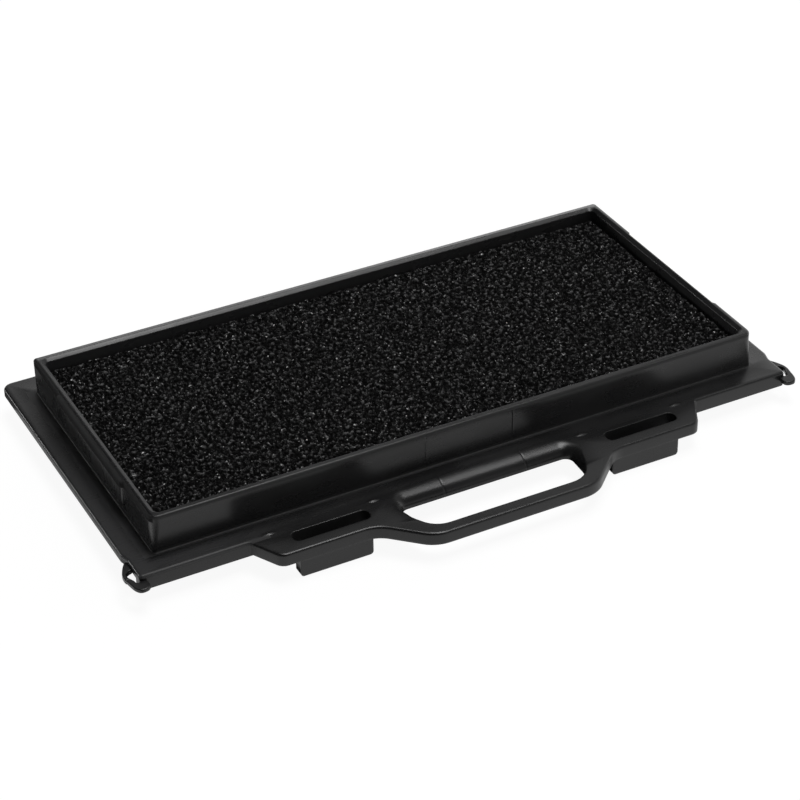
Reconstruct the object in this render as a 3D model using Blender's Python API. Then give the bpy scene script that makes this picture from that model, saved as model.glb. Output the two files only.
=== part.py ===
"""Ink pad cartridge for a self-inking stamp: one moulded housing, two spring catches, foam and felt.

Plan axes: X along the long side, Y to the back, Z up.  Sizes below are in millimetres.
"""
import math

import bmesh
import bpy

MM = 0.001

# Tray
TRAY_LENGTH = 76.6
TRAY_DEPTH = 35.8
TRAY_HEIGHT = 8.2
TRAY_CORNER = 0.45
LEAD_CORNER = 1.1
LEAD_HEIGHT = 1.0
WALL_SHORT = 1.0
WALL_LONG = 1.15
WELL_CORNER = 0.6
FLOOR = 1.0
RIM_ROUND = 0.28
RIM_CHAMFER = 0.45
RIM_DROP = 0.32
BASE_FILLET = 0.15
KEY_STEP = 0.38
KEY_HEIGHT = 3.0
KEY_LENGTH = 19.6
KEY_OFFSET = -0.4
KEY_CORNER = 0.45

# Flange plate round the tray, thin at the sides and back, with a deeper skirt at the front
PLATE_TOP = 3.6
PLATE_THIN = 0.95
PLATE_FULL = 1.85
FLANGE_SIDE = 3.2
FLANGE_BACK = 3.3
FLANGE_FRONT = 3.1
PLATE_BACK_CORNER = 1.3
PLATE_FRONT_CORNER = 0.45
EDGE_ROUND = 0.3
SKIRT = 1.3

# Handle
HANDLE_THICK = 1.5
HANDLE_ROOT = 28.5
HANDLE_FILLET = 0.4
SHOULDER_END = 26.4
SHOULDER_REACH = 3.9
SHOULDER_CORNER = 1.3
GRIP_ROOT = 15.1
GRIP_FILLET = 3.6
GRIP_END = 10.2
GRIP_REACH = 8.55
GRIP_CORNER = 4.0
GRIP_BAR = 1.5

# Finger gap
GAP_HALF = 10.9
GAP_SETBACK = 1.0
GAP_TAPER = 0.3
GAP_BACK_CORNER = 1.0
GAP_FRONT_CORNER = 3.0
GAP_ROLL = 2.0

# Slots behind the stop lips, and the lips under the shoulder
SLOT_INNER = 15.1
SLOT_OUTER = 24.4
SLOT_SHIFT = 0.35
SLOT_SETBACK = 0.55
SLOT_WIDTH = 1.75
SLOT_CORNER = 0.7
LIP_INNER = 15.25
LIP_OUTER = 24.0
LIP_SHIFT = -0.27
LIP_DEPTH = 1.3
LIP_CORNER = 0.4
LIP_OVERLAP = 0.6

# Spring catches, placed from the waist at the plate's front corners
WAIST_STEP = 0.35
WAIST_START = 4.6
WAIST_END = 3.4
WAIST_BLEND = 0.6
CATCH_TOP = 3.15
CATCH_HEIGHT = 0.7
CATCH_ROUND = 0.1
CATCH_GAP = 0.3
BOW_REACH = 0.95
BOW_STRIP = 0.49
BOW_LENGTH = 3.55
BEAD_DEPTH = 0.87
BEAD_INNER = 0.55
BEAD_OUTER = 1.0
PIVOT_BACK = 3.1

# Pad
PAD_CLEARANCE = 0.3
PAD_CORNER = 0.5
FOAM_DROP = 1.2
FOAM_THICK = 2.4
FOAM_ROUND = 0.4
LAYER_GAP = 0.3

# How far a cutter runs past what it cuts, and the sink of one solid in another
OVERCUT = 2.0
SINK = 0.02

HALF_X = TRAY_LENGTH / 2
HALF_Y = TRAY_DEPTH / 2
PLATE_BOTTOM = PLATE_TOP - PLATE_FULL
HANDLE_BOTTOM = PLATE_TOP - HANDLE_THICK
PLATE_HALF = HALF_X + FLANGE_SIDE
PLATE_WAIST = PLATE_HALF - WAIST_STEP
PLATE_BACK = HALF_Y + FLANGE_BACK
PLATE_FRONT = -HALF_Y - FLANGE_FRONT
SHOULDER_FRONT = PLATE_FRONT - SHOULDER_REACH
GRIP_FRONT = PLATE_FRONT - GRIP_REACH
GAP_BACK = PLATE_FRONT - GAP_SETBACK
GAP_FRONT = GRIP_FRONT + GRIP_BAR
SLOT_MIDDLE = PLATE_FRONT - SLOT_SETBACK - SLOT_WIDTH / 2
CATCH_BOTTOM = CATCH_TOP - CATCH_HEIGHT

for old in list(bpy.data.objects):
    bpy.data.objects.remove(old, do_unlink=True)

product = bpy.data.collections.new("ink_pad")
cutters = bpy.data.collections.new("cutters")
bpy.context.scene.collection.children.link(product)
bpy.context.scene.collection.children.link(cutters)


def material(name, colour, roughness):
    made = bpy.data.materials.new(name)
    made.use_nodes = True
    shader = made.node_tree.nodes["Principled BSDF"]
    shader.inputs["Base Color"].default_value = (*colour, 1.0)
    shader.inputs["Roughness"].default_value = roughness
    shader.inputs["Metallic"].default_value = 0.0
    return made


def arc_corners(corners, steps=8):
    """Closed outline from (x, y, radius) corners, each corner turned into an arc."""
    points = []
    count = len(corners)
    for k in range(count):
        px, py, _ = corners[k - 1]
        x, y, radius = corners[k]
        nx, ny, _ = corners[(k + 1) % count]
        in_length = math.hypot(px - x, py - y)
        out_length = math.hypot(nx - x, ny - y)
        ax, ay = (px - x) / in_length, (py - y) / in_length
        bx, by = (nx - x) / out_length, (ny - y) / out_length
        half = math.acos(max(-1.0, min(1.0, ax * bx + ay * by))) / 2
        reach = radius / math.tan(half)
        mx, my = ax + bx, ay + by
        size = math.hypot(mx, my)
        cx = x + mx / size * radius / math.sin(half)
        cy = y + my / size * radius / math.sin(half)
        first = math.atan2(y + ay * reach - cy, x + ax * reach - cx)
        last = math.atan2(y + by * reach - cy, x + bx * reach - cx)
        turn = (last - first + math.pi) % (2 * math.pi) - math.pi
        for s in range(steps + 1):
            angle = first + turn * s / steps
            points.append((cx + radius * math.cos(angle), cy + radius * math.sin(angle)))
    return points


def box_outline(half_x, half_y, radius, centre=(0.0, 0.0), steps=8):
    cx, cy = centre
    return arc_corners([
        (cx + half_x, cy + half_y, radius),
        (cx - half_x, cy + half_y, radius),
        (cx - half_x, cy - half_y, radius),
        (cx + half_x, cy - half_y, radius),
    ], steps)


def grow(points, amount):
    """Moves every point of an anticlockwise outline outward along its normal."""
    moved = []
    count = len(points)
    for k in range(count):
        x0, y0 = points[k - 1]
        x1, y1 = points[k]
        x2, y2 = points[(k + 1) % count]
        l1 = math.hypot(x1 - x0, y1 - y0)
        l2 = math.hypot(x2 - x1, y2 - y1)
        n1 = ((y1 - y0) / l1, (x0 - x1) / l1)
        n2 = ((y2 - y1) / l2, (x1 - x2) / l2)
        mx, my = n1[0] + n2[0], n1[1] + n2[1]
        scale = amount * 2 / (mx * mx + my * my)
        moved.append((x1 + mx * scale, y1 + my * scale))
    return moved


def loft(name, sections, group):
    """Closed solid through outlines of equal count at rising heights."""
    mesh = bpy.data.meshes.new(name)
    bm = bmesh.new()
    rings = []
    for height, outline in sections:
        rings.append([bm.verts.new((x * MM, y * MM, height * MM)) for x, y in outline])
    count = len(rings[0])
    for low, high in zip(rings, rings[1:]):
        for k in range(count):
            nxt = (k + 1) % count
            bm.faces.new((low[k], low[nxt], high[nxt], high[k]))
    bm.faces.new(list(reversed(rings[0])))
    bm.faces.new(rings[-1])
    bmesh.ops.recalc_face_normals(bm, faces=bm.faces[:])
    bm.to_mesh(mesh)
    bm.free()
    made = bpy.data.objects.new(name, mesh)
    group.objects.link(made)
    if group is cutters:
        made.hide_render = True
        made.display_type = "WIRE"
    return made


def prism(name, outline, bottom, top, group=cutters):
    return loft(name, [(bottom, outline), (top, outline)], group)


def rounded_top(outline, bottom, top, radius, steps=4):
    """Sections of a prism whose upper edge is rounded."""
    sections = [(bottom, outline)]
    for s in range(steps + 1):
        angle = math.pi / 2 * s / steps
        inset = radius * (1 - math.cos(angle))
        sections.append((top - radius + radius * math.sin(angle), grow(outline, -inset)))
    return sections


def combine(target, tool, operation):
    step = target.modifiers.new(tool.name, "BOOLEAN")
    step.operation = operation
    step.solver = "EXACT"
    step.object = tool


def mirrored(outline):
    return [(-x, y) for x, y in reversed(outline)]


black_plastic = material("black_plastic", (0.020, 0.020, 0.021), 0.36)
catch_plastic = material("catch_plastic", (0.021, 0.021, 0.022), 0.38)
ink_foam_look = material("ink_foam", (0.008, 0.008, 0.009), 0.75)
felt_look = material("ink_felt", (0.012, 0.012, 0.013), 0.95)

# Housing: flange plate with the handle in one outline
right_side = [
    (PLATE_HALF, PLATE_BACK, PLATE_BACK_CORNER),
    (PLATE_HALF, PLATE_FRONT + WAIST_START, WAIST_BLEND),
    (PLATE_WAIST, PLATE_FRONT + WAIST_END, WAIST_BLEND),
    (PLATE_WAIST, PLATE_FRONT, PLATE_FRONT_CORNER),
    (HANDLE_ROOT, PLATE_FRONT, HANDLE_FILLET),
    (SHOULDER_END, SHOULDER_FRONT, SHOULDER_CORNER),
    (GRIP_ROOT, SHOULDER_FRONT, GRIP_FILLET),
    (GRIP_END, GRIP_FRONT, GRIP_CORNER),
]
left_side = [(-x, y, radius) for x, y, radius in right_side]
plate_outline = arc_corners(left_side + list(reversed(right_side)))
housing = loft(
    "housing", rounded_top(plate_outline, PLATE_BOTTOM, PLATE_TOP, EDGE_ROUND), product)
housing.data.materials.append(black_plastic)

# Undercuts leave the side and back flanges thin and a full-depth skirt along the front
thin_bottom = PLATE_TOP - PLATE_THIN
skirt_back = PLATE_FRONT + SKIRT
reach = PLATE_HALF + OVERCUT
inside_x = HALF_X - WALL_SHORT
inside_y = HALF_Y - WALL_LONG
undercut = prism("rail_undercut", [
    (-reach, skirt_back), (-inside_x, skirt_back), (-inside_x, inside_y),
    (inside_x, inside_y), (inside_x, skirt_back), (reach, skirt_back),
    (reach, PLATE_BACK + OVERCUT), (-reach, PLATE_BACK + OVERCUT),
], PLATE_BOTTOM - OVERCUT, thin_bottom)
combine(housing, undercut, "DIFFERENCE")

# The handle is a little thinner than the skirt, which is relieved behind the finger gap
relief_half = GAP_HALF + GAP_ROLL
relief_root = HANDLE_ROOT + OVERCUT
relief_front = GRIP_FRONT - OVERCUT
relief = prism("handle_relief", [
    (-relief_root, relief_front), (relief_root, relief_front),
    (relief_root, PLATE_FRONT), (relief_half, PLATE_FRONT), (relief_half, skirt_back),
    (-relief_half, skirt_back), (-relief_half, PLATE_FRONT), (-relief_root, PLATE_FRONT),
], PLATE_BOTTOM - OVERCUT, HANDLE_BOTTOM)
combine(housing, relief, "DIFFERENCE")

# Tray box: rounded rim, a fillet at the plate, front corners that open out into a lead-in
def tray_outline(front_radius):
    return arc_corners([
        (HALF_X, HALF_Y, TRAY_CORNER), (-HALF_X, HALF_Y, TRAY_CORNER),
        (-HALF_X, -HALF_Y, front_radius), (HALF_X, -HALF_Y, front_radius),
    ])


base_outline = tray_outline(TRAY_CORNER)
tray_sections = [(0.0, base_outline), (PLATE_TOP - BASE_FILLET, base_outline)]
tray_sections.append((PLATE_TOP - BASE_FILLET / 2, grow(base_outline, BASE_FILLET)))
for s in range(5):
    angle = math.pi / 2 * s / 4
    tray_sections.append((
        PLATE_TOP + BASE_FILLET * (1 - math.cos(angle)),
        grow(base_outline, BASE_FILLET * (1 - math.sin(angle)))))
tray_sections += rounded_top(
    tray_outline(LEAD_CORNER), TRAY_HEIGHT - LEAD_HEIGHT, TRAY_HEIGHT, RIM_ROUND)
tray = loft("tray_box", tray_sections, cutters)
combine(housing, tray, "UNION")

# Key: the left wall steps out and the right wall steps in, so the pad enters one way round
key_half = KEY_LENGTH / 2
key_depth = (WALL_SHORT + KEY_STEP) / 2
key_outline = box_outline(
    key_depth, key_half, KEY_CORNER, (key_depth - HALF_X - KEY_STEP, KEY_OFFSET), 4)
key_top = TRAY_HEIGHT - SINK
left_key = loft(
    "left_key",
    [(key_top - KEY_HEIGHT - KEY_STEP, grow(key_outline, -KEY_STEP * 0.9))]
    + rounded_top(key_outline, key_top - KEY_HEIGHT, key_top, RIM_ROUND), cutters)
combine(housing, left_key, "UNION")
right_key = prism(
    "right_key",
    box_outline(
        OVERCUT / 2, key_half, KEY_CORNER,
        (HALF_X + OVERCUT / 2 - KEY_STEP, KEY_OFFSET), 4),
    TRAY_HEIGHT - KEY_HEIGHT, TRAY_HEIGHT + OVERCUT)
combine(housing, right_key, "DIFFERENCE")

# Stop lips under the shoulder, flush with its front
for side, sign in (("left", -1), ("right", 1)):
    low = min(sign * LIP_INNER, sign * LIP_OUTER) + LIP_SHIFT
    high = max(sign * LIP_INNER, sign * LIP_OUTER) + LIP_SHIFT
    seat = HANDLE_BOTTOM + LIP_OVERLAP
    profile = arc_corners([
        (low, seat, LIP_CORNER / 4), (low, 0.0, LIP_CORNER),
        (high, 0.0, LIP_CORNER), (high, seat, LIP_CORNER / 4),
    ])
    lip = prism(f"{side}_lip", profile, 0.0, LIP_DEPTH)
    for vertex in lip.data.vertices:
        x, up, back = vertex.co
        vertex.co = (x, (SHOULDER_FRONT + SINK) * MM + back, up)
    lip.data.flip_normals()
    combine(housing, lip, "UNION")

# Pad well and its chamfered mouth
well_outline = box_outline(inside_x, inside_y, WELL_CORNER)
well = loft("pad_well", [
    (FLOOR, well_outline),
    (TRAY_HEIGHT - RIM_DROP, well_outline),
    (TRAY_HEIGHT + RIM_DROP, grow(well_outline, RIM_CHAMFER * 2)),
], cutters)
combine(housing, well, "DIFFERENCE")

# Finger gap: straight through, with its back edge rolled over
gap_outline = arc_corners([
    (GAP_HALF, GAP_BACK, GAP_BACK_CORNER), (-GAP_HALF, GAP_BACK, GAP_BACK_CORNER),
    (-GAP_HALF + GAP_TAPER, GAP_FRONT, GAP_FRONT_CORNER),
    (GAP_HALF - GAP_TAPER, GAP_FRONT, GAP_FRONT_CORNER),
])
gap_sections = [(PLATE_BOTTOM - OVERCUT, gap_outline)]
gap_depth = GAP_BACK - GAP_FRONT
for s in range(9):
    angle = math.pi / 2 * s / 8
    lift = HANDLE_THICK * math.sin(angle)
    spread = GAP_ROLL * (1 - math.cos(angle))
    grown = grow(gap_outline, spread)
    outline = []
    for (x, y), (gx, gy) in zip(gap_outline, grown):
        share = max(0.0, min(1.0, ((y - GAP_FRONT) / gap_depth - 0.26) / 0.6))
        share = share * share * (3 - 2 * share)
        outline.append((x + (gx - x) * share * 0.6, y + (gy - y) * share))
    gap_sections.append((HANDLE_BOTTOM + lift, outline))
gap_sections.append((PLATE_TOP + OVERCUT, gap_sections[-1][1]))
gap = loft("finger_gap", gap_sections, cutters)
combine(housing, gap, "DIFFERENCE")

# Slots behind the lips
for side, sign in (("left", -1), ("right", 1)):
    slot = prism(
        f"{side}_slot",
        box_outline(
            (SLOT_OUTER - SLOT_INNER) / 2, SLOT_WIDTH / 2, SLOT_CORNER,
            (sign * (SLOT_INNER + SLOT_OUTER) / 2 + SLOT_SHIFT, SLOT_MIDDLE)),
        PLATE_BOTTOM - OVERCUT, PLATE_TOP + OVERCUT)
    combine(housing, slot, "DIFFERENCE")

# Spring catches: a bow from the plate's side to a bead in front of the corner
bow_out = CATCH_GAP + BOW_REACH
bow_in = bow_out - BOW_STRIP
bead_back = CATCH_GAP + 0.05
bead_front = bead_back + BEAD_DEPTH
bow = [(PLATE_WAIST + x, PLATE_FRONT + y, radius) for x, y, radius in (
    (CATCH_GAP, BOW_LENGTH, 0.15), (CATCH_GAP + 0.3, BOW_LENGTH - 0.1, 0.25),
    (bow_out, BOW_LENGTH - 1.5, 0.6), (bow_out, BOW_LENGTH - 2.3, 0.5),
    (BEAD_OUTER - 0.05, 0.4, 0.6), (BEAD_OUTER, -0.5, 0.5),
    (BEAD_OUTER - 0.4, -bead_front, 0.5), (0.15 - BEAD_INNER, -bead_front, 0.4),
    (-BEAD_INNER, -bead_back, 0.25), (0.2, -bead_back, 0.25),
    (BEAD_OUTER - 0.05 - BOW_STRIP, 0.3, 0.6), (bow_in, BOW_LENGTH - 2.15, 0.5),
    (bow_in, BOW_LENGTH - 1.65, 0.4), (CATCH_GAP, BOW_LENGTH - 0.9, 0.4),
)]
bow = arc_corners(bow, 5)
bow.reverse()
for side, outline in (("left", mirrored(bow)), ("right", bow)):
    sections = [
        (CATCH_BOTTOM, grow(outline, -CATCH_ROUND)),
        (CATCH_BOTTOM + CATCH_ROUND * 0.3, grow(outline, -CATCH_ROUND * 0.3)),
    ] + rounded_top(outline, CATCH_BOTTOM + CATCH_ROUND, CATCH_TOP, CATCH_ROUND, 3)
    sign = -1 if side == "left" else 1
    catch = loft(f"{side}_spring_catch", sections, product)
    pivot = (
        sign * (PLATE_WAIST + CATCH_GAP + BOW_STRIP / 3) * MM,
        (PLATE_FRONT + PIVOT_BACK) * MM,
        (CATCH_TOP + CATCH_BOTTOM) / 2 * MM)
    for vertex in catch.data.vertices:
        vertex.co = [value - centre for value, centre in zip(vertex.co, pivot)]
    catch.location = pivot
    catch.data.materials.append(catch_plastic)
    for face in catch.data.polygons:
        face.use_smooth = abs(face.normal.z) < 0.99

# Pad: porous foam on top of a felt reservoir
pad_outline = box_outline(
    inside_x - PAD_CLEARANCE, inside_y - PAD_CLEARANCE, PAD_CORNER)
foam_top = TRAY_HEIGHT - FOAM_DROP
foam_bottom = foam_top - FOAM_THICK
foam = loft("ink_foam", rounded_top(pad_outline, foam_bottom, foam_top, FOAM_ROUND), product)
foam.data.materials.append(ink_foam_look)

felt = prism("ink_reservoir", pad_outline, FLOOR + LAYER_GAP, foam_bottom - LAYER_GAP, product)
felt.data.materials.append(felt_look)
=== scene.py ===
"""Looks of the slide-in ink pad: moulded tray, foam, felt, catches, floor, light and camera."""

import math

import bmesh
import bpy
from mathutils import Matrix, Vector


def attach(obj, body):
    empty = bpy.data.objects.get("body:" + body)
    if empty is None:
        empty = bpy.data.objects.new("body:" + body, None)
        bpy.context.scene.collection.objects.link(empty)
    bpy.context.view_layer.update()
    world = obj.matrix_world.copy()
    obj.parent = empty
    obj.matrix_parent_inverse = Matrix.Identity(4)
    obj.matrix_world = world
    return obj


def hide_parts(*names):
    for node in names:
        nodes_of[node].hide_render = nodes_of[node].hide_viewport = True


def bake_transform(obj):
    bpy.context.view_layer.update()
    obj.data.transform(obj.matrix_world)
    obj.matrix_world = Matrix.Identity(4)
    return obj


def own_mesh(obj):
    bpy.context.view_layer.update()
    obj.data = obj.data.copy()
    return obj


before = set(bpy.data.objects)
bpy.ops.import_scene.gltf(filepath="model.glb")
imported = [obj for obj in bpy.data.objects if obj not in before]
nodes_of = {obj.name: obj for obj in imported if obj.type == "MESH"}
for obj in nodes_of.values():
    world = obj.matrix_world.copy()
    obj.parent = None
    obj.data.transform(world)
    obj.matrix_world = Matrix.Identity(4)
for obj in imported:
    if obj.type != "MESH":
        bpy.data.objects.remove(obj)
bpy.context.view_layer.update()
MM = 0.001
scene = bpy.context.scene


# node helpers

COLUMN_WIDTH = 240
ROW_HEIGHT = 180


def add(tree, kind, inputs=None, **settings):
    """A node of that kind. Inputs, by name or number, get plain values or other nodes' outputs."""
    node = tree.nodes.new(kind)
    for key, value in settings.items():
        setattr(node, key, value)
    for key, value in (inputs or {}).items():
        if isinstance(value, bpy.types.NodeSocket):
            tree.links.new(value, node.inputs[key])
        else:
            node.inputs[key].default_value = value
    return node


def lay_out(tree):
    """Places the nodes in columns by how far they are from the tree's output."""
    depth = {node.name: 0 for node in tree.nodes}
    moved = True
    while moved:
        moved = False
        for link in tree.links:
            reach = depth[link.to_node.name] + 1
            if depth[link.from_node.name] < reach:
                depth[link.from_node.name] = reach
                moved = True
    filled = {}
    for node in tree.nodes:
        column = depth[node.name]
        row = filled.get(column, 0)
        node.location = (-COLUMN_WIDTH * column, -ROW_HEIGHT * row)
        filled[column] = row + 1


def new_group(name, kind, inputs, outputs):
    """A node group with sockets given as names and types. Returns it with the sockets inside."""
    tree = bpy.data.node_groups.new(name, kind)
    for in_out, sockets in (("INPUT", inputs), ("OUTPUT", outputs)):
        for label, value_type in sockets:
            tree.interface.new_socket(label, in_out=in_out, socket_type="NodeSocket" + value_type)
    return tree, add(tree, "NodeGroupInput").outputs, add(tree, "NodeGroupOutput").inputs


def math_node(tree, operation, a, b=None, clamp=False):
    """A Math node's output; a and b are sockets or numbers."""
    values = {0: a} if b is None else {0: a, 1: b}
    return add(tree, "ShaderNodeMath", values, operation=operation, use_clamp=clamp).outputs[0]


def chained(tree, operation, first, *others):
    """Math nodes in a row: the result so far with each of the others in turn."""
    for other in others:
        first = math_node(tree, operation, first, other)
    return first


def map_range(tree, value, low, high, to_low=0.0, to_high=1.0, smooth=True):
    """A Map Range node's output, from low..high to to_low..to_high."""
    ends = {"Value": value, "From Min": low, "From Max": high, "To Min": to_low, "To Max": to_high}
    kind = "SMOOTHSTEP" if smooth else "LINEAR"
    return add(tree, "ShaderNodeMapRange", ends, interpolation_type=kind).outputs["Result"]


def ramp(tree, value, span, to_low=0.0, to_high=1.0):
    """A smooth step of a coordinate over a span in mm."""
    return map_range(tree, value, span[0] * MM, span[1] * MM, to_low, to_high)


def noise(tree, vector, scale, detail=3.0, roughness=0.55):
    """A 3D noise value in object coordinates."""
    values = {"Scale": scale, "Detail": detail, "Roughness": roughness, "Vector": vector}
    return add(tree, "ShaderNodeTexNoise", values).outputs["Fac"]


def mixed(tree, factor, a, b):
    """A colour between a and b."""
    return add(tree, "ShaderNodeMix", {"Factor": factor, "A": a, "B": b}, data_type="RGBA").outputs["Result"]


def bumped(tree, height, strength, distance, normal=None, invert=False):
    """A normal bent by a height; distance is in mm."""
    values = {"Strength": strength, "Distance": distance * MM, "Height": height}
    if normal is not None:
        values["Normal"] = normal
    return add(tree, "ShaderNodeBump", values, invert=invert).outputs["Normal"]


def object_place(tree):
    """Object coordinates, whole and split by axis."""
    place = add(tree, "ShaderNodeTexCoord").outputs["Object"]
    return place, add(tree, "ShaderNodeSeparateXYZ", {0: place}).outputs


def box_mask(tree, parts, box):
    """1 inside a box of object coordinates, given by two corners in mm, and 0 elsewhere."""
    sides = []
    for axis, least, most in zip("XYZ", *box):
        middle = 0.5 * (least + most) * MM
        away = math_node(tree, "ABSOLUTE", math_node(tree, "SUBTRACT", parts[axis], middle))
        sides.append(math_node(tree, "LESS_THAN", away, 0.5 * (most - least) * MM))
    return chained(tree, "MULTIPLY", *sides)


def box_sum(tree, parts, weighted):
    """The sum of box masks, each times its weight."""
    return chained(tree, "ADD", *[math_node(tree, "MULTIPLY", box_mask(tree, parts, box), weight)
                                  for weight, box in weighted])


def blank_material(name):
    """A material with an empty node tree, and that tree."""
    mat = bpy.data.materials.new(name)
    mat.use_nodes = True
    mat.node_tree.nodes.clear()
    return mat, mat.node_tree


def surfaced(tree, surface, kind="ShaderNodeOutputMaterial"):
    """Ends a shader tree with its output node."""
    add(tree, kind, {"Surface": surface})
    lay_out(tree)


# moulded plastic

PLASTIC_DARK = (0.0095, 0.0095, 0.0098, 1.0)
PLASTIC_LIGHT = (0.0150, 0.0150, 0.0154, 1.0)
PLASTIC_WORN = (0.028, 0.028, 0.029, 1.0)
# painted light: a lighter colour for the tray's inner walls, lifting their shade
WELL_PAINTED_LIGHT = (0.042, 0.042, 0.043, 1.0)
# painted light: a lighter colour for the top of the plate's left side
PLATE_PAINTED_LIGHT = (0.034, 0.034, 0.035, 1.0)
PLASTIC_IOR = 1.5
CLOUD_SCALE = 90.0
GRAIN_SCALE = 5200.0
WIPE_SCALE = 420.0
WIPE_STRETCH = (0.35, 1.8, 1.0)
WIPE_TURN = (0.0, 0.0, 0.5)
WIPE_ROUGHNESS = (0.24, 0.31)
CLOUD_ROUGHNESS = (-0.02, 0.03)
EDGE_WEAR = (0.1, 0.7)
GRAIN_SHARE = 0.6
GRAIN_STRENGTH = 0.06
GRAIN_DEPTH = 0.02


def make_plastic_group():
    """Moulded plastic: colour, roughness and a height from object coordinates."""
    tree, given, made = new_group(
        "moulded_plastic", "ShaderNodeTree", (("Vector", "Vector"), ("Edge", "Float")),
        (("Color", "Color"), ("Roughness", "Float"), ("Height", "Float")))
    place = given["Vector"]
    cloud = noise(tree, place, CLOUD_SCALE)
    grain = noise(tree, place, GRAIN_SCALE, 2.0)
    smear = add(tree, "ShaderNodeMapping", {"Vector": place, "Scale": WIPE_STRETCH, "Rotation": WIPE_TURN})
    wipe = noise(tree, smear.outputs["Vector"], WIPE_SCALE, 4.0, 0.6)
    tone = mixed(tree, map_range(tree, cloud, 0.35, 0.65), PLASTIC_DARK, PLASTIC_LIGHT)
    wear = math_node(tree, "MULTIPLY", given["Edge"], map_range(tree, wipe, 0.45, 0.65, *EDGE_WEAR))
    tree.links.new(mixed(tree, wear, tone, PLASTIC_WORN), made["Color"])
    rough = math_node(tree, "ADD", map_range(tree, wipe, 0.3, 0.7, *WIPE_ROUGHNESS),
                      map_range(tree, cloud, 0.3, 0.7, *CLOUD_ROUGHNESS))
    tree.links.new(rough, made["Roughness"])
    height = math_node(tree, "ADD", math_node(tree, "MULTIPLY", grain, GRAIN_SHARE),
                       math_node(tree, "MULTIPLY", wipe, 1.0 - GRAIN_SHARE))
    tree.links.new(height, made["Height"])
    lay_out(tree)
    return tree


def make_line_group():
    """Mask of one mould line at an X offset, between the low and high ends of Y and Z."""
    names = ("Offset", "Half Width", "Y Low", "Y High", "Z Low", "Z High")
    tree, given, made = new_group(
        "mould_line", "ShaderNodeTree", [("Vector", "Vector")] + [(name, "Float") for name in names],
        (("Mask", "Float"),))
    parts = add(tree, "ShaderNodeSeparateXYZ", {0: given["Vector"]}).outputs
    away = math_node(tree, "ABSOLUTE", math_node(tree, "SUBTRACT", parts["X"], given["Offset"]))
    mask = math_node(tree, "SUBTRACT", 1.0, math_node(tree, "DIVIDE", away, given["Half Width"]), True)
    for axis in ("Y", "Z"):
        above = math_node(tree, "GREATER_THAN", parts[axis], given[axis + " Low"])
        below = math_node(tree, "LESS_THAN", parts[axis], given[axis + " High"])
        mask = math_node(tree, "MULTIPLY", mask, math_node(tree, "MULTIPLY", above, below))
    tree.links.new(mask, made["Mask"])
    lay_out(tree)
    return tree


PLASTIC_GROUP = make_plastic_group()
LINE_GROUP = make_line_group()

# the mould insert's witness lines, in mm: offset, y low, y high, z low, z high
WITNESS_LINES = (
    (-5.3, -18.2, -17.6, 3.7, 8.0),
    (5.85, -18.2, -17.6, 3.7, 8.0),
    (-5.0, -22.3, -20.0, 1.0, 3.7),
    (5.4, -22.3, -20.0, 1.0, 3.7),
)
LINE_HALF_WIDTH = 0.16
LINE_STRENGTH = 0.7
LINE_DEPTH = 0.05

# widening of the shaded edge radius, in mm: along the grip's front and up the front left corner
BEVEL_SAMPLES = 8
GRIP_SOFT = 0.16
GRIP_FRONT = (-24.4, -25.2)
CORNER_SOFT = 0.75
CORNER_X = (-37.1, -37.3)
CORNER_Y = (-16.5, -16.7)
CORNER_TOP = (7.3, 7.8)
CORNER_FOOT = (3.95, 4.6)
EDGE_TURN = (0.98, 0.75)

# crown of the back and left rims, in mm
RIM_CROWN = 0.10
BACK_CROWN = (16.95, 17.9)
LEFT_CROWN = (-37.80, -38.40)
LEFT_CROWN_DROP = 1.6
CROWN_RISE = (7.4, 7.9)

# boxes of the housing by two corners, in mm
FOOT = ((-39.5, -18.3, 3.5), (38.7, 18.3, 3.95))
LEFT_MOUTH = ((-37.95, -17.4, 7.7), (-37.1, 17.4, 8.3))
LEFT_MOUTH_SLOPE = ((-37.95, -17.4, 7.7), (-37.1, 17.4, 8.19))
FRONT_MOUTH = ((-37.95, -17.4, 7.7), (37.95, -16.6, 8.3))
LEFT_RIM_SIDE = ((-39.0, -17.6, 7.4), (-37.85, 18.0, 8.19))
FRONT_RIM_SIDE = ((-38.4, -18.2, 7.8), (38.4, -17.55, 8.18))
LEFT_ROOT = ((-39.2, -18.0, 3.67), (-38.0, 18.0, 4.15))
PLATE_FRONT_EDGE = ((-41.6, -21.3, 3.2), (-26.0, -20.7, 3.65))
LEFT_SLOT = ((-24.1, -23.35, 1.0), (-14.6, -21.5, 3.5))
RIGHT_SLOT = ((15.3, -23.35, 1.0), (24.9, -21.5, 3.5))
WELL = ((-37.45, -16.9, 1.5), (37.45, 16.9, 7.85))
PLATE_LEFT_TOP = ((-43.0, -21.4, 3.3), (-20.0, 21.4, 3.66))

# edges that keep their own normal, and places with that much more roughness
CRISP = (LEFT_MOUTH, FRONT_MOUTH, FOOT)
DULLER = (
    (0.25, FOOT), (0.6, LEFT_SLOT), (0.6, RIGHT_SLOT), (0.66, LEFT_RIM_SIDE), (0.3, FRONT_RIM_SIDE),
    (0.54, LEFT_ROOT), (0.24, PLATE_FRONT_EDGE), (0.3, LEFT_MOUTH_SLOPE),
)

# where the painted light on the plate fades in, in mm: beside the tray and in front of it
LIT_SIDE_X = (-38.4, -39.8)
LIT_SIDE_Y = (8.0, -12.0)
LIT_FRONT_X = (-22.0, -34.0)
LIT_FRONT_Y = (-18.1, -19.4)


def edge_radius(tree, parts, bevel):
    """The shaded radius of the edges, which is wider at the grip and one corner."""
    grip = ramp(tree, parts["Y"], GRIP_FRONT, 0.0, GRIP_SOFT * MM)
    corner = chained(
        tree, "MULTIPLY", ramp(tree, parts["X"], CORNER_X, 0.0, CORNER_SOFT * MM),
        ramp(tree, parts["Y"], CORNER_Y), ramp(tree, parts["Z"], CORNER_TOP, 1.0, 0.0),
        ramp(tree, parts["Z"], CORNER_FOOT))
    return chained(tree, "ADD", grip, corner, bevel * MM)


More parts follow.
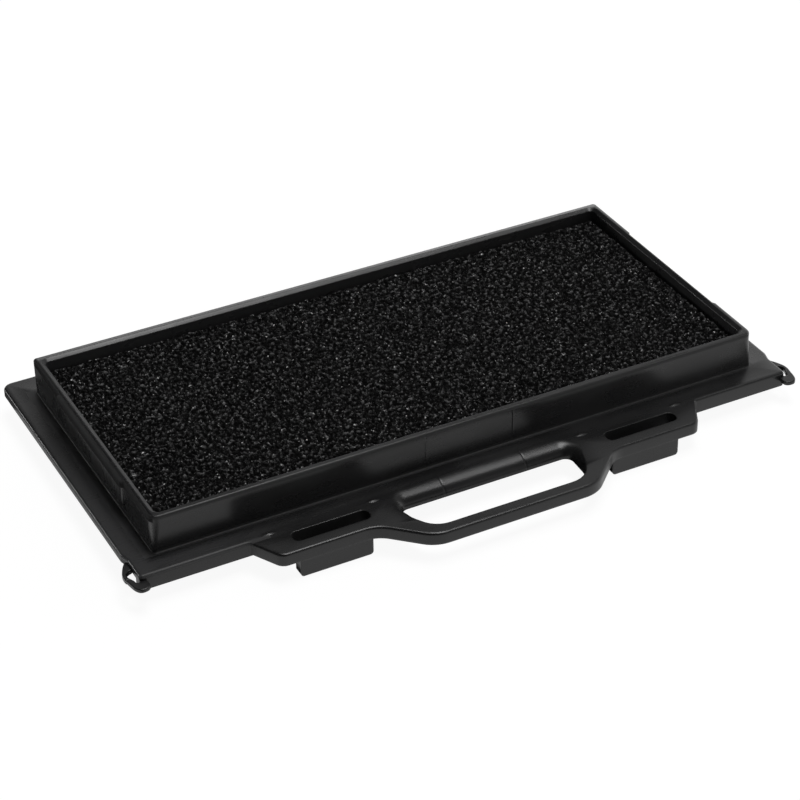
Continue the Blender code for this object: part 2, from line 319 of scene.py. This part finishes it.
def painted_light_mask(tree, parts):
    """Painted light on the top of the plate's left side, growing towards its left and front."""
    side = math_node(tree, "MULTIPLY", ramp(tree, parts["X"], LIT_SIDE_X),
                     ramp(tree, parts["Y"], LIT_SIDE_Y))
    front = math_node(tree, "MULTIPLY", ramp(tree, parts["Y"], LIT_FRONT_Y),
                      ramp(tree, parts["X"], LIT_FRONT_X))
    return math_node(tree, "MULTIPLY", math_node(tree, "MAXIMUM", side, front),
                     box_mask(tree, parts, PLATE_LEFT_TOP))


def rim_crown(tree, parts, normal):
    """Rounds the tops of the back and left rims."""
    fall = math_node(tree, "ADD", ramp(tree, parts["Y"], BACK_CROWN, 0.0, -1.0),
                     ramp(tree, parts["X"], LEFT_CROWN, 0.0, -LEFT_CROWN_DROP))
    height = math_node(tree, "MULTIPLY", fall, ramp(tree, parts["Z"], CROWN_RISE))
    return bumped(tree, height, 1.0, RIM_CROWN, normal)


def witness_grooves(tree, place, lines, normal):
    """Cuts the mould lines into the normal."""
    total = None
    for offset, y_low, y_high, z_low, z_high in lines:
        mask = add(tree, "ShaderNodeGroup", {
            "Vector": place, "Offset": offset * MM, "Half Width": LINE_HALF_WIDTH * MM,
            "Y Low": y_low * MM, "Y High": y_high * MM, "Z Low": z_low * MM, "Z High": z_high * MM},
            node_tree=LINE_GROUP).outputs["Mask"]
        total = mask if total is None else math_node(tree, "ADD", total, mask, True)
    return bumped(tree, total, LINE_STRENGTH, LINE_DEPTH, normal, invert=True)


def plastic(name, bevel, lines=()):
    """Black satin plastic with soft moulded edges. The one with mould lines has crowned rims too. Its colour
    carries painted light: lighter in the tray's well and on the plate's left side.
    """
    mat, tree = blank_material(name)
    place, parts = object_place(tree)
    soft = add(tree, "ShaderNodeBevel", {"Radius": edge_radius(tree, parts, bevel)},
               samples=BEVEL_SAMPLES).outputs["Normal"]
    plain = add(tree, "ShaderNodeNewGeometry").outputs["Normal"]
    turn = add(tree, "ShaderNodeVectorMath", {0: soft, 1: plain}, operation="DOT_PRODUCT").outputs["Value"]
    detail = add(tree, "ShaderNodeGroup", {"Vector": place, "Edge": map_range(tree, turn, *EDGE_TURN)},
                 node_tree=PLASTIC_GROUP).outputs
    # painted light: inside the tray's well the plastic is lightened
    colour = mixed(tree, box_mask(tree, parts, WELL), detail["Color"], WELL_PAINTED_LIGHT)
    # painted light: the plate's left side is lightened
    colour = mixed(tree, painted_light_mask(tree, parts), colour, PLATE_PAINTED_LIGHT)
    rough = math_node(tree, "ADD", detail["Roughness"], box_sum(tree, parts, DULLER))
    crisp = chained(tree, "MAXIMUM", *[box_mask(tree, parts, box) for box in CRISP])
    normal = add(tree, "ShaderNodeMix", {"Factor": crisp, "A": soft, "B": plain},
                 data_type="VECTOR").outputs["Result"]
    normal = bumped(tree, detail["Height"], GRAIN_STRENGTH, GRAIN_DEPTH, normal)
    if lines:
        normal = witness_grooves(tree, place, lines, rim_crown(tree, parts, normal))
    shader = add(tree, "ShaderNodeBsdfPrincipled", {
        "IOR": PLASTIC_IOR, "Base Color": colour, "Roughness": rough, "Normal": normal})
    surfaced(tree, shader.outputs["BSDF"])
    return mat


# inked foam and felt

# foam colours: the pit colour is black ink darkened as painted shade, the strut and spark colours are painted
# glints and sparkles
FOAM_PIT_SHADE = (0.0006, 0.0006, 0.0006, 1.0)
FOAM_STRUT_GLINT = (0.24, 0.24, 0.242, 1.0)
FOAM_PAINTED_SPARKLE = (1.0, 1.0, 1.0, 1.0)
FOAM_IOR = 1.45
FOAM_SPECULAR = 0.06
SPECK_SCALE = 5200.0
SPECK_SHARE = 0.5
GLINT_SCALE = 1900.0
GLINT_LEAST = 0.16
STRUT_POWER = 1.6
SPARK_SCALE = 3100.0
DRY_ROUGHNESS = 0.75
WET_ROUGHNESS = 0.24
FOAM_STRENGTH = 0.8
FOAM_DEPTH = 0.10

FELT_DARK = (0.004, 0.004, 0.0042, 1.0)
FELT_LIGHT = (0.016, 0.016, 0.0165, 1.0)
FIBRE_SCALE = 2600.0
FIBRE_STRETCH = (0.3, 1.6, 1.0)
FELT_ROUGHNESS = (0.75, 0.95)
FELT_STRENGTH = 0.6
FELT_DEPTH = 0.08


def foam_material():
    """Open-cell foam wet with black ink, thin glossy struts, with painted light in its colour: pits of black
    ink darkened to near black as painted shade, struts painted lighter as glints where a noise is high, and
    rare white specks as painted sparkles.
    """
    mat, tree = blank_material("inked_foam")
    place = add(tree, "ShaderNodeTexCoord").outputs["Object"]
    strut = add(tree, "ShaderNodeAttribute", attribute_name="strut").outputs["Fac"]
    speck = noise(tree, place, SPECK_SCALE, 2.0, 0.6)
    # painted glints: struts lighter where a noise is high; rare specks painted white as sparkles
    glint = map_range(tree, noise(tree, place, GLINT_SCALE, 1.0), 0.44, 0.66, GLINT_LEAST, 1.0)
    painted_glint = math_node(tree, "POWER", math_node(tree, "MULTIPLY", strut, glint), STRUT_POWER)
    painted_sparkle = math_node(tree, "MULTIPLY", strut,
                     map_range(tree, noise(tree, place, SPARK_SCALE, 0.0), 0.76, 0.82))
    colour = mixed(tree, painted_sparkle, mixed(tree, painted_glint, FOAM_PIT_SHADE, FOAM_STRUT_GLINT), FOAM_PAINTED_SPARKLE)
    height = math_node(tree, "ADD", strut, math_node(tree, "MULTIPLY", speck, SPECK_SHARE))
    shader = add(tree, "ShaderNodeBsdfPrincipled", {
        "IOR": FOAM_IOR, "Specular IOR Level": FOAM_SPECULAR, "Base Color": colour,
        "Roughness": map_range(tree, strut, 0.1, 0.8, DRY_ROUGHNESS, WET_ROUGHNESS),
        "Normal": bumped(tree, height, FOAM_STRENGTH, FOAM_DEPTH)})
    surfaced(tree, shader.outputs["BSDF"])
    return mat


def felt_material():
    """Dense felt soaked with black ink: fibre streaks and a dull sheen."""
    mat, tree = blank_material("inked_felt")
    place = add(tree, "ShaderNodeTexCoord").outputs["Object"]
    fibre = add(tree, "ShaderNodeMapping", {"Vector": place, "Scale": FIBRE_STRETCH})
    streak = noise(tree, fibre.outputs["Vector"], FIBRE_SCALE, 4.0, 0.65)
    shader = add(tree, "ShaderNodeBsdfPrincipled", {
        "Base Color": mixed(tree, streak, FELT_DARK, FELT_LIGHT),
        "Roughness": map_range(tree, streak, 0.3, 0.7, *FELT_ROUGHNESS),
        "Normal": bumped(tree, streak, FELT_STRENGTH, FELT_DEPTH)})
    surfaced(tree, shader.outputs["BSDF"])
    return mat


HOUSING_EDGE = 0.14
CATCH_EDGE = 0.10
HOUSING_PLASTIC = plastic("housing_plastic", HOUSING_EDGE, WITNESS_LINES)
CATCH_PLASTIC = plastic("catch_plastic", CATCH_EDGE)
INKED_FOAM = foam_material()
INKED_FELT = felt_material()


# the housing keeps its own shape

SHARP_ANGLE = math.radians(32.0)
WELD = 1e-6


def soften_tree():
    """Welds a CAD mesh and shades it smooth up to an angle."""
    tree, given, made = new_group(
        "soften", "GeometryNodeTree", (("Geometry", "Geometry"), ("Angle", "Float")),
        (("Geometry", "Geometry"),))
    weld = add(tree, "GeometryNodeMergeByDistance", {"Geometry": given["Geometry"], "Distance": WELD})
    smooth = add(tree, "GeometryNodeSetShadeSmooth", {"Geometry": weld.outputs["Geometry"]}, domain="FACE")
    angle = add(tree, "GeometryNodeInputMeshEdgeAngle").outputs["Unsigned Angle"]
    test = add(tree, "FunctionNodeCompare", {"A": angle, "B": given["Angle"]},
               data_type="FLOAT", operation="GREATER_THAN")
    sharp = add(tree, "GeometryNodeSetShadeSmooth", {
        "Geometry": smooth.outputs["Geometry"], "Selection": test.outputs["Result"], "Shade Smooth": False},
        domain="EDGE")
    tree.links.new(sharp.outputs["Geometry"], made["Geometry"])
    lay_out(tree)
    return tree


def set_input(modifier, name, value):
    """Sets a Geometry Nodes input by its socket's identifier."""
    for item in modifier.node_group.interface.items_tree:
        if item.item_type == "SOCKET" and item.in_out == "INPUT" and item.name == name:
            modifier[item.identifier] = value


HOUSING = nodes_of["housing"]
for holder in HOUSING.material_slots:
    holder.link = "OBJECT"
    holder.material = HOUSING_PLASTIC
soften = HOUSING.modifiers.new("soften", "NODES")
soften.node_group = soften_tree()
set_input(soften, "Angle", SHARP_ANGLE)


# foam and felt

WARP_RATE = 1.1
WARP_REACH = 0.9
WARP_DETAIL = 2.0
FINE_RATE = 1.7
FINE_HEIGHT = 0.8
STRAND_WIDTH = (0.01, 0.11)
LUMP_DETAIL = 3.0
LUMP_SPAN = (0.36, 0.58)
RIM_FALL = 0.9
RING_WIDTH = 1e-6
SLAB_LENGTHS = ("Length", "Depth", "Centre", "Half Length", "Half Depth", "Top", "Thickness", "Round",
                "Cell", "Relief")


def linked(name, data):
    """A new object of the scene."""
    obj = bpy.data.objects.new(name, data)
    scene.collection.objects.link(obj)
    return obj


def slab_tree():
    """A displaced slab: fine top with pores, rounded rim and plain sides."""
    inputs = [(name, "Float") for name in SLAB_LENGTHS]
    inputs += [("Columns", "Int"), ("Rows", "Int"), ("Material", "Material")]
    tree, given, made = new_group("foam_slab", "GeometryNodeTree", inputs, (("Geometry", "Geometry"),))
    grid = add(tree, "GeometryNodeMeshGrid", {
        "Size X": given["Length"], "Size Y": given["Depth"],
        "Vertices X": given["Columns"], "Vertices Y": given["Rows"]})
    offset = add(tree, "ShaderNodeCombineXYZ", {"X": given["Centre"], "Z": given["Top"]})
    shift = add(tree, "GeometryNodeTransform", {
        "Geometry": grid.outputs["Mesh"], "Translation": offset.outputs["Vector"]})
    # pores: cells with their walls bent by a noise, plus finer holes in the walls
    place = add(tree, "GeometryNodeInputPosition").outputs["Position"]
    cell = given["Cell"]
    warp = add(tree, "ShaderNodeTexNoise", {
        "Detail": WARP_DETAIL, "Vector": place, "Scale": math_node(tree, "DIVIDE", WARP_RATE, cell)})
    amount = math_node(tree, "MULTIPLY", cell, WARP_REACH)
    wide = add(tree, "ShaderNodeCombineXYZ", {"X": amount, "Y": amount, "Z": amount})
    bent = add(tree, "ShaderNodeVectorMath", {
        0: warp.outputs["Color"], 1: wide.outputs["Vector"], 2: place}, operation="MULTIPLY_ADD")
    strands = []
    for rate, height in ((1.0, 1.0), (FINE_RATE, FINE_HEIGHT)):
        walls = add(tree, "ShaderNodeTexVoronoi", {
            "Vector": bent.outputs["Vector"], "Scale": math_node(tree, "DIVIDE", rate, cell)},
            feature="DISTANCE_TO_EDGE")
        strands.append(map_range(tree, walls.outputs["Distance"], *STRAND_WIDTH, height, 0.0))
    lumps = add(tree, "ShaderNodeTexNoise", {
        "Detail": LUMP_DETAIL, "Vector": place, "Scale": math_node(tree, "DIVIDE", 1.0, cell)})
    strut = math_node(tree, "MULTIPLY", math_node(tree, "MAXIMUM", *strands),
                      map_range(tree, lumps.outputs["Fac"], *LUMP_SPAN))
    drop = math_node(tree, "MULTIPLY", math_node(tree, "SUBTRACT", 1.0, strut), given["Relief"])
    # rounded rim: distance to the slab's edge gives a quarter-round drop
    parts = add(tree, "ShaderNodeSeparateXYZ", {0: place}).outputs
    radius = given["Round"]
    near = []
    squares = []
    for axis, half in (("X", "Half Length"), ("Y", "Half Depth")):
        inward = math_node(tree, "SUBTRACT", given[half], math_node(tree, "ABSOLUTE", parts[axis]))
        gap = math_node(tree, "MAXIMUM", math_node(tree, "SUBTRACT", radius, inward), 0.0)
        near.append(inward)
        squares.append(math_node(tree, "MULTIPLY", gap, gap))
    reach = math_node(tree, "MINIMUM", math_node(tree, "SQRT", math_node(tree, "ADD", *squares)), radius)
    arc = math_node(tree, "SQRT", math_node(tree, "SUBTRACT", math_node(tree, "MULTIPLY", radius, radius),
                                            math_node(tree, "MULTIPLY", reach, reach)))
    fall = math_node(tree, "MULTIPLY", math_node(tree, "SUBTRACT", radius, arc), RIM_FALL)
    # the outermost ring goes straight down to the underside
    ring = math_node(tree, "LESS_THAN", math_node(tree, "MINIMUM", *near), RING_WIDTH)
    under = math_node(tree, "MULTIPLY", ring, given["Thickness"])
    depth = math_node(tree, "MAXIMUM", math_node(tree, "ADD", fall, drop), under)
    down = add(tree, "ShaderNodeCombineXYZ", {"Z": math_node(tree, "MULTIPLY", depth, -1.0)})
    keep = add(tree, "GeometryNodeStoreNamedAttribute", {
        "Name": "strut", "Geometry": shift.outputs["Geometry"], "Value": strut},
        data_type="FLOAT", domain="POINT")
    move = add(tree, "GeometryNodeSetPosition", {
        "Geometry": keep.outputs["Geometry"], "Offset": down.outputs["Vector"]})
    smooth = add(tree, "GeometryNodeSetShadeSmooth", {"Geometry": move.outputs["Geometry"]})
    real = add(tree, "GeometryNodeRealizeInstances", {"Geometry": smooth.outputs["Geometry"]})
    paint = add(tree, "GeometryNodeSetMaterial", {
        "Geometry": real.outputs["Geometry"], "Material": given["Material"]})
    tree.links.new(paint.outputs["Geometry"], made["Geometry"])
    lay_out(tree)
    return tree


def grown(name, tree, values):
    """A plain mesh grown by a Geometry Nodes tree with these inputs."""
    seed_mesh = bpy.data.meshes.new(name + "_seed")
    obj = linked(name, seed_mesh)
    maker = obj.modifiers.new("grow", "NODES")
    maker.node_group = tree
    for key, value in values.items():
        set_input(maker, key, value)
    graph = bpy.context.evaluated_depsgraph_get()
    mesh = bpy.data.meshes.new_from_object(obj.evaluated_get(graph))
    obj.modifiers.remove(maker)
    obj.data = mesh
    mesh.name = name
    bpy.data.meshes.remove(seed_mesh)
    return obj


SLAB = slab_tree()
PAD_HALF_X = 37.0
PAD_HALF_Y = 16.45
FOAM_TOP = 7.0
FOAM_THICK = 2.4
FOAM_ROUND = 0.55
FOAM_CELL = 0.50
FOAM_RELIEF = 0.34
FOAM_GRID = (219, 388)
STRIPS = 4
STRIP = 2 * PAD_HALF_X / STRIPS
for number in range(STRIPS):
    foam = grown(f"foam_strip_{number + 1}", SLAB, {
        "Length": STRIP * MM, "Depth": 2 * PAD_HALF_Y * MM,
        "Centre": (STRIP * (number + 0.5) - PAD_HALF_X) * MM,
        "Half Length": PAD_HALF_X * MM, "Half Depth": PAD_HALF_Y * MM,
        "Top": FOAM_TOP * MM, "Thickness": FOAM_THICK * MM, "Round": FOAM_ROUND * MM,
        "Cell": FOAM_CELL * MM, "Relief": FOAM_RELIEF * MM,
        "Columns": FOAM_GRID[0], "Rows": FOAM_GRID[1], "Material": INKED_FOAM})
    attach(foam, "pad")
    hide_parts("ink_foam")

FELT_TOP = 4.3
FELT_THICK = 3.0
FELT_ROUND = 0.4
FELT_CELL = 1.6
FELT_RELIEF = 0.10
FELT_GRID = (220, 100)
felt = grown("felt_reservoir", SLAB, {
    "Length": 2 * PAD_HALF_X * MM, "Depth": 2 * PAD_HALF_Y * MM, "Centre": 0.0,
    "Half Length": PAD_HALF_X * MM, "Half Depth": PAD_HALF_Y * MM,
    "Top": FELT_TOP * MM, "Thickness": FELT_THICK * MM, "Round": FELT_ROUND * MM,
    "Cell": FELT_CELL * MM, "Relief": FELT_RELIEF * MM,
    "Columns": FELT_GRID[0], "Rows": FELT_GRID[1], "Material": INKED_FELT})
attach(felt, "tray")
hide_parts("ink_reservoir")
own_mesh(felt)


# small moulded details

# low oval pads on the plate, in mm
OVAL_CENTRES = ((-25.95, -20.55), (25.95, -20.55), (-13.3, -20.55), (13.3, -20.55))
OVAL_LENGTH = 2.3
OVAL_DEPTH = 0.9
OVAL_HEIGHT = 0.10
OVAL_BASE = 3.6
OVAL_SINK = 0.01
OVAL_RINGS = 7
OVAL_STEPS = 28


def oval_mesh(name):
    """The oval pads moulded on the plate, each an eased dome."""
    mesh = bpy.data.meshes.new(name)
    bm = bmesh.new()
    for cx, cy in OVAL_CENTRES:
        top = bm.verts.new((cx * MM, cy * MM, (OVAL_BASE + OVAL_HEIGHT) * MM))
        last = None
        for ring in range(1, OVAL_RINGS + 1):
            share = ring / OVAL_RINGS
            z = OVAL_BASE + OVAL_HEIGHT * (0.5 + 0.5 * math.cos(math.pi * share)) - OVAL_SINK
            row = []
            for step in range(OVAL_STEPS):
                angle = 2 * math.pi * step / OVAL_STEPS
                x = cx + 0.5 * OVAL_LENGTH * share * math.cos(angle)
                y = cy + 0.5 * OVAL_DEPTH * share * math.sin(angle)
                row.append(bm.verts.new((x * MM, y * MM, z * MM)))
            for step in range(OVAL_STEPS):
                after = (step + 1) % OVAL_STEPS
                if last is None:
                    bm.faces.new((top, row[step], row[after]))
                else:
                    bm.faces.new((last[step], row[step], row[after], last[after]))
            last = row
    for face in bm.faces:
        face.smooth = True
    bm.to_mesh(mesh)
    bm.free()
    mesh.materials.append(HOUSING_PLASTIC)
    return linked(name, mesh)


PADS = oval_mesh("plate_pads")
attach(PADS, "tray")


# a spring loop's outline in the right-hand corner, in mm:
# out along the bow, round the bead, back along the hole
LOOP = (
    (40.9, -16.7), (41.35, -17.0), (41.8, -17.6), (42.2, -18.4), (42.47, -19.1), (42.48, -19.8),
    (42.32, -20.5), (42.22, -21.2), (42.05, -21.85), (41.65, -22.38), (41.0, -22.42), (40.45, -22.2),
    (40.3, -21.6), (40.4, -20.85), (41.0, -20.6), (41.12, -20.85), (41.34, -21.02), (41.56, -20.9),
    (41.64, -20.4), (41.9, -19.9), (42.08, -19.4), (41.9, -18.95), (41.5, -18.7), (41.1, -18.6),
    (40.9, -18.3),
)
LOOP_CUTS = 2
BOW_LOW = 2.42
BEAD_LOW = 2.52
LOOP_TOP = 3.02
LOOP_ROUND = 0.12
ROUND_STEPS = 4
BOW_END = -20.0
FLAT_TOP = 0.99
FLAT_CUT = 0.999


def rounded(points, times):
    """Corner cutting of a closed outline."""
    for _ in range(times):
        cut = []
        for (ax, ay), (bx, by) in zip(points, points[1:] + points[:1]):
            cut.append((0.75 * ax + 0.25 * bx, 0.75 * ay + 0.25 * by))
            cut.append((0.25 * ax + 0.75 * bx, 0.25 * ay + 0.75 * by))
        points = cut
    return points


def inset(points, amount):
    """The outline moved inwards by amount; points run clockwise seen from above."""
    moved = []
    for index, (x, y) in enumerate(points):
        ax, ay = points[index - 1]
        bx, by = points[(index + 1) % len(points)]
        length = math.hypot(bx - ax, by - ay)
        moved.append((x + amount * (by - ay) / length, y - amount * (bx - ax) / length))
    return moved


def loop_mesh(name, side, front):
    """One half of a spring loop: the bow at the back or the bead at the front."""
    outline = rounded(list(LOOP), LOOP_CUTS)
    bottom = BEAD_LOW if front else BOW_LOW
    quarter = []
    for step in range(ROUND_STEPS + 1):
        angle = 0.5 * math.pi * step / ROUND_STEPS
        quarter.append((LOOP_ROUND * (1 - math.sin(angle)), LOOP_ROUND * (1 - math.cos(angle))))
    levels = [(bottom + rise, amount) for rise, amount in reversed(quarter)]
    levels += [(LOOP_TOP - rise, amount) for rise, amount in quarter]
    mesh = bpy.data.meshes.new(name)
    bm = bmesh.new()
    rows = []
    for z, amount in levels:
        rows.append([bm.verts.new((side * x * MM, y * MM, z * MM)) for x, y in inset(outline, amount)])
    count = len(outline)
    for low, high in zip(rows, rows[1:]):
        for step in range(count):
            after = (step + 1) % count
            bm.faces.new((low[step], low[after], high[after], high[step]))
    bm.faces.new(rows[-1])
    bm.faces.new(list(reversed(rows[0])))
    whole = bm.verts[:] + bm.edges[:] + bm.faces[:]
    done = bmesh.ops.bisect_plane(bm, geom=whole, plane_co=(0, BOW_END * MM, 0), plane_no=(0, 1, 0),
                                  clear_outer=front, clear_inner=not front)
    rim = [item for item in done["geom_cut"] if isinstance(item, bmesh.types.BMEdge)]
    bmesh.ops.holes_fill(bm, edges=rim)
    bmesh.ops.triangulate(bm, faces=bm.faces[:])
    bmesh.ops.recalc_face_normals(bm, faces=bm.faces[:])
    for face in bm.faces:
        face.smooth = abs(face.normal.z) < FLAT_TOP and abs(face.normal.y) < FLAT_CUT
    bm.to_mesh(mesh)
    bm.free()
    mesh.materials.append(CATCH_PLASTIC)
    return linked(name, mesh)


for side, label in ((-1, "left"), (1, "right")):
    bow = loop_mesh(label + "_catch_bow", side, False)
    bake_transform(bow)
    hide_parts(label + "_spring_catch")
    bead = loop_mesh(label + "_catch_bead", side, True)
    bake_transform(bead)
    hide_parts(label + "_spring_catch")


# floor, sky, lights and camera

FLOOR_SIZE = 4.0
FLOOR_CELLS = 8
FLOOR_HEIGHT = -0.00004
FLOOR_WHITE = 0.93
FLOOR_PAPER = (0.12, 0.12, 0.12, 1.0)

# the floor's glow, seen only in reflections, is painted light, in mm: half width, front and back of the
# ground under the object, which gets a painted shadow, the fade from front to back, the dark left side, and
# lighter patches and a darker band by two corners
PAINTED_SHADOW_GROUND = ((40.5, -20.7, 20.5), (24.9, -24.3, -20.7))
FADE_Y = (-30.0, 50.0)
FADE_LEVELS = (0.70, 0.16)
LEFT_OF = -40.5
LEFT_Y = (-19.0, -14.0)
LEFT_DARKER = 0.9
SIDE_STRIP = ((-44.6, -17.0, -1.0), (-42.3, 21.0, 1.0))
CORNER_STREAK = ((-54.0, -19.0, -1.0), (-45.5, -11.0, 1.0))
PAINTED_LIGHT_PATCHES = ((0.5, SIDE_STRIP), (1.0, CORNER_STREAK))
PAINTED_SHADE_BAND = ((-46.0, -32.0, -1.0), (-39.5, -26.0, 1.0))
BAND_DARKER = 0.9

# the sky's level over the height of a direction, and its change across X and along Y
SKY_CURVE = ((0.0, 1.0), (0.2, 0.95), (0.36, 0.78), (0.48, 0.34), (0.58, 0.262), (0.75, 0.192), (1.0, 0.192))
SKY_ACROSS = (-0.02, 0.44, 0.12, 1.30)
SKY_ALONG = (-0.6, 0.4, 0.35, 1.0)
SKY_STRENGTH = 1.3
WHITE = (1.0, 1.0, 1.0, 1.0)


def camera_pick(tree, others, camera_only):
    """One shader for what the camera sees and another for all other rays."""
    seen = add(tree, "ShaderNodeLightPath").outputs["Is Camera Ray"]
    return add(tree, "ShaderNodeMixShader", {"Fac": seen, 1: others, 2: camera_only}).outputs["Shader"]


def floor_glow(tree, parts):
    """Painted light: the floor's glow in reflections, with a painted shadow under the object."""
    wide = math_node(tree, "ABSOLUTE", parts["X"])
    shadow_grounds = []
    for half, front, back in PAINTED_SHADOW_GROUND:
        shadow_grounds.append(chained(tree, "MULTIPLY", math_node(tree, "LESS_THAN", wide, half * MM),
                               math_node(tree, "GREATER_THAN", parts["Y"], front * MM),
                               math_node(tree, "LESS_THAN", parts["Y"], back * MM)))
    # painted shadow: no glow on the ground under the object
    clear = math_node(tree, "SUBTRACT", 1.0, chained(tree, "MAXIMUM", *shadow_grounds))
    glow = ramp(tree, parts["Y"], FADE_Y, *FADE_LEVELS)
    left = math_node(tree, "MULTIPLY", math_node(tree, "LESS_THAN", parts["X"], LEFT_OF * MM),
                     ramp(tree, parts["Y"], LEFT_Y, 0.0, LEFT_DARKER))
    glow = math_node(tree, "MULTIPLY", glow, math_node(tree, "SUBTRACT", 1.0, left))
    # painted light patches, then a painted shade band, near the front left corner
    glow = math_node(tree, "ADD", glow, box_sum(tree, parts, PAINTED_LIGHT_PATCHES))
    painted_shade = math_node(tree, "MULTIPLY", box_mask(tree, parts, PAINTED_SHADE_BAND), BAND_DARKER)
    return chained(tree, "MULTIPLY", glow, math_node(tree, "SUBTRACT", 1.0, painted_shade), clear)


def studio_floor():
    """White to the camera; in reflections it glows as painted light, bright in front, dim behind, with a
    painted shadow under the object.
    """
    mat, tree = blank_material("studio_floor")
    parts = object_place(tree)[1]
    others = add(tree, "ShaderNodeEmission", {"Strength": floor_glow(tree, parts)}).outputs["Emission"]
    white = add(tree, "ShaderNodeEmission", {"Strength": FLOOR_WHITE}).outputs["Emission"]
    paper = add(tree, "ShaderNodeBsdfDiffuse", {"Color": FLOOR_PAPER}).outputs["BSDF"]
    both = add(tree, "ShaderNodeAddShader", {0: camera_pick(tree, others, white), 1: paper})
    surfaced(tree, both.outputs["Shader"])
    return mat


def floor_mesh():
    """A wide flat floor just under the object."""
    mesh = bpy.data.meshes.new("floor")
    bm = bmesh.new()
    bmesh.ops.create_grid(bm, x_segments=FLOOR_CELLS, y_segments=FLOOR_CELLS, size=FLOOR_SIZE)
    for vert in bm.verts:
        vert.co.z = FLOOR_HEIGHT
    bm.to_mesh(mesh)
    bm.free()
    mesh.materials.append(studio_floor())
    return linked("floor", mesh)


def studio_sky():
    """White to the camera; in reflections a dome that is brighter low down and to the right."""
    world = bpy.data.worlds.new("studio")
    world.use_nodes = True
    tree = world.node_tree
    tree.nodes.clear()
    heading = add(tree, "ShaderNodeTexCoord").outputs["Generated"]
    parts = add(tree, "ShaderNodeSeparateXYZ", {0: heading}).outputs
    rise = add(tree, "ShaderNodeFloatCurve", {"Value": parts["Z"]})
    points = rise.mapping.curves[0].points
    for index, point in enumerate(SKY_CURVE):
        if index < 2:
            points[index].location = point
        else:
            points.new(*point)
    rise.mapping.update()
    across = map_range(tree, parts["X"], *SKY_ACROSS, smooth=False)
    along = map_range(tree, parts["Y"], *SKY_ALONG, smooth=False)
    level = math_node(tree, "MULTIPLY", rise.outputs["Value"], math_node(tree, "MULTIPLY", across, along))
    dome = add(tree, "ShaderNodeBackground", {"Color": level, "Strength": SKY_STRENGTH}).outputs["Background"]
    white = add(tree, "ShaderNodeBackground", {"Color": WHITE, "Strength": 1.0}).outputs["Background"]
    surfaced(tree, camera_pick(tree, dome, white), "ShaderNodeOutputWorld")
    return world


def softbox(name, place, width, height, power):
    """An area light at place that faces the object."""
    data = bpy.data.lights.new(name, "AREA")
    data.shape = "RECTANGLE"
    data.size = width
    data.size_y = height
    data.energy = power
    obj = linked(name, data)
    obj.location = place
    obj.rotation_euler = (-Vector(place)).to_track_quat("-Z", "Y").to_euler()


FLOOR = floor_mesh()
scene.world = studio_sky()
softbox("key_softbox", (0.13, 0.02, 0.74), 0.50, 0.30, 3.0)
softbox("edge_softbox", (-0.53, 0.60, 0.08), 0.40, 0.10, 0.9)

# the camera solved from the photograph's vanishing points
RIGHT = (0.88678498, -0.46195298, -0.01455472)
UP = (0.26783765, 0.4879785, 0.83074664)
BACK = (-0.37666349, -0.74059195, 0.55646041)
PLACE = (-0.108106, -0.213867, 0.161000)
view = bpy.data.cameras.new("photo_camera")
view.lens = 109.10
view.sensor_width = 36.0
view.clip_start = 0.01
camera = linked("photo_camera", view)
camera.matrix_world = Matrix([(RIGHT[i], UP[i], BACK[i], PLACE[i]) for i in range(3)] + [(0, 0, 0, 1)])
scene.camera = camera
scene.view_settings.view_transform = "Standard"
